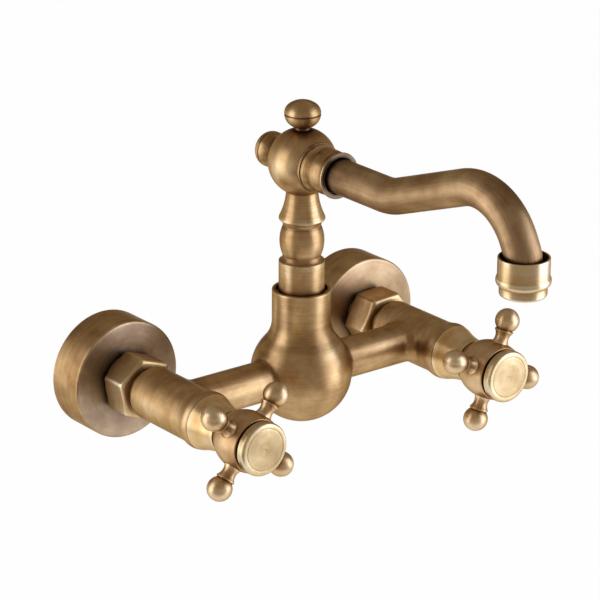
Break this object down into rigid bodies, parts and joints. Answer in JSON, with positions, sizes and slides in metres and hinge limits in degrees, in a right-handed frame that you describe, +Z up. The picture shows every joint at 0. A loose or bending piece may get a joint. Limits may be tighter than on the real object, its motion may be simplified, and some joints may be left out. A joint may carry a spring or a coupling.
{
  "type": "wall-mounted basin mixer tap",
  "caption": "Wall-mounted basin mixer in antique brass, with cross handles on a bridge body and a swivelling curved spout on a turned pillar.",
  "frame": {"origin": "midway between the two inlet axes, on the plane of the finished wall", "axes": "+X to the right seen from the front, +Y into the wall, +Z up"},
  "size_m": [0.2094, 0.2561, 0.168],
  "materials": {
    "antique_brass": "brushed and darkened antique brass, satin lacquer",
    "raw_brass": "machined brass",
    "rubber_seal": "moulded black rubber",
    "ceramic": "lapped alumina",
    "steel": "stainless steel",
    "white_plastic": "moulded acetal"
  },
  "bodies": {
    "mixer_body": {"hot_wall_flange": "antique_brass", "hot_union_nut": "antique_brass", "hot_inlet_nipple": "antique_brass", "hot_valve_arm": "antique_brass", "hot_bell_shroud": "antique_brass", "hot_wall_union": "raw_brass", "hot_headwork": "raw_brass", "hot_union_washer": "rubber_seal", "hot_seat_seal": "rubber_seal", "hot_fixed_disc": "ceramic", "cold_wall_flange": "antique_brass", "cold_union_nut": "antique_brass", "cold_inlet_nipple": "antique_brass", "cold_valve_arm": "antique_brass", "cold_bell_shroud": "antique_brass", "cold_wall_union": "raw_brass", "cold_headwork": "raw_brass", "cold_union_washer": "rubber_seal", "cold_seat_seal": "rubber_seal", "cold_fixed_disc": "ceramic", "mixing_bulb": "antique_brass", "swivel_washer": "white_plastic"},
    "hot_handle": {"hot_handle_hub": "antique_brass", "hot_spoke_1": "antique_brass", "hot_spoke_2": "antique_brass", "hot_spoke_3": "antique_brass", "hot_spoke_4": "antique_brass", "hot_handle_cap": "antique_brass", "hot_spindle": "raw_brass", "hot_spindle_rings": "rubber_seal", "hot_turning_disc": "ceramic", "hot_spindle_clip": "steel", "hot_handle_screw": "steel"},
    "cold_handle": {"cold_handle_hub": "antique_brass", "cold_spoke_1": "antique_brass", "cold_spoke_2": "antique_brass", "cold_spoke_3": "antique_brass", "cold_spoke_4": "antique_brass", "cold_handle_cap": "antique_brass", "cold_spindle": "raw_brass", "cold_spindle_rings": "rubber_seal", "cold_turning_disc": "ceramic", "cold_spindle_clip": "steel", "cold_handle_screw": "steel"},
    "spout": {"pillar": "antique_brass", "ball_head": "antique_brass", "top_finial": "antique_brass", "rear_finial": "antique_brass", "spout_collar": "antique_brass", "spout_tube": "antique_brass", "aerator_shell": "antique_brass", "spout_nose": "raw_brass", "swivel_rings": "rubber_seal", "aerator_washer": "rubber_seal", "snap_ring": "steel", "aerator_insert": "white_plastic"}
  },
  "joints": [
    {"name": "hot_handle_turn", "type": "hinge", "parent": "mixer_body", "child": "hot_handle", "pos_m": [-0.075, 0, 0], "axis": [0, -1, 0], "range_deg": [0, 90]},
    {"name": "cold_handle_turn", "type": "hinge", "parent": "mixer_body", "child": "cold_handle", "pos_m": [0.075, 0, 0], "axis": [0, -1, 0], "range_deg": [-90, 0]},
    {"name": "spout_swivel", "type": "hinge", "parent": "mixer_body", "child": "spout", "pos_m": [0, -0.0618, 0], "axis": [0, 0, 1], "range_deg": [-90, 90]}
  ]
}
